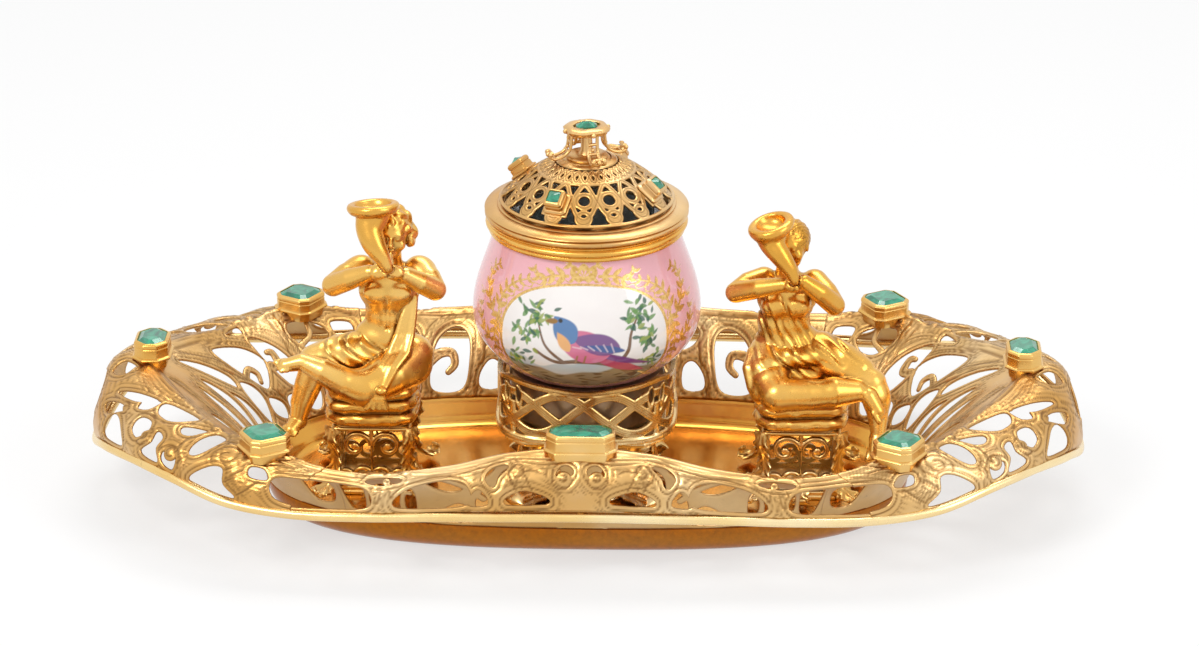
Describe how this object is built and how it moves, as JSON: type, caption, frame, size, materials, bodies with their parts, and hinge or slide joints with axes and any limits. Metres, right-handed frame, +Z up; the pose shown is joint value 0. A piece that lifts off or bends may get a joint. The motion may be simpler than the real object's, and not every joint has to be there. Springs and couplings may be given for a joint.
{
  "type": "desk inkstand",
  "caption": "Oval pierced gilt tray with a lidded porcelain inkwell on a strapwork stand between two seated horn players; the lid is hinged.",
  "frame": {"origin": "middle of the underside of the tray, on the surface it stands on", "axes": "+X to the right along the tray, +Y to its back, where the lid hinge is, +Z up"},
  "size_m": [0.3734, 0.1734, 0.1467],
  "materials": {
    "pale_gilt": "satin, chased",
    "deep_gilt": "burnished",
    "plain_brass": "turned",
    "dark_bronze": "darkened, polished",
    "porcelain": "glazed porcelain, painted and gilded",
    "green_stone": "polished",
    "liner_glass": "clear"
  },
  "bodies": {
    "root": {"tray_basin": "deep_gilt", "rolled_edge": "deep_gilt", "gallery_front": "pale_gilt", "gallery_back": "pale_gilt", "gallery_left": "pale_gilt", "gallery_right": "pale_gilt", "setting_front": "pale_gilt", "setting_back": "pale_gilt", "setting_left": "pale_gilt", "setting_right": "pale_gilt", "setting_front_left": "pale_gilt", "setting_front_right": "pale_gilt", "setting_back_left": "pale_gilt", "setting_back_right": "pale_gilt", "stone_front": "green_stone", "stone_back": "green_stone", "stone_left": "green_stone", "stone_right": "green_stone", "stone_front_left": "green_stone", "stone_front_right": "green_stone", "stone_back_left": "green_stone", "stone_back_right": "green_stone", "stand_foot": "pale_gilt", "stand_drum": "pale_gilt", "stand_cup": "dark_bronze", "centre_rod": "plain_brass", "rod_washer": "plain_brass", "rod_nut": "plain_brass", "bowl": "porcelain", "bowl_collar": "deep_gilt", "ink_liner": "liner_glass", "hinge_pin": "plain_brass", "figure_left": "deep_gilt", "figure_right": "deep_gilt", "horn_left": "deep_gilt", "horn_right": "deep_gilt", "seat_left": "deep_gilt", "seat_right": "deep_gilt", "plinth_left": "deep_gilt", "plinth_right": "deep_gilt", "plinth_screws": "plain_brass"},
    "lid": {"lid_rim": "pale_gilt", "lid_dome": "pale_gilt", "lid_setting_1": "pale_gilt", "lid_setting_2": "pale_gilt", "lid_setting_3": "pale_gilt", "lid_setting_4": "pale_gilt", "lid_stone_1": "green_stone", "lid_stone_2": "green_stone", "lid_stone_3": "green_stone", "lid_stone_4": "green_stone", "finial": "pale_gilt", "finial_stone": "green_stone"}
  },
  "joints": [
    {"name": "lid_hinge", "type": "hinge", "parent": "root", "child": "lid", "pos_m": [0, 0.04005, 0.1111], "axis": [-1, 0, 0], "range_deg": [0, 105]}
  ]
}
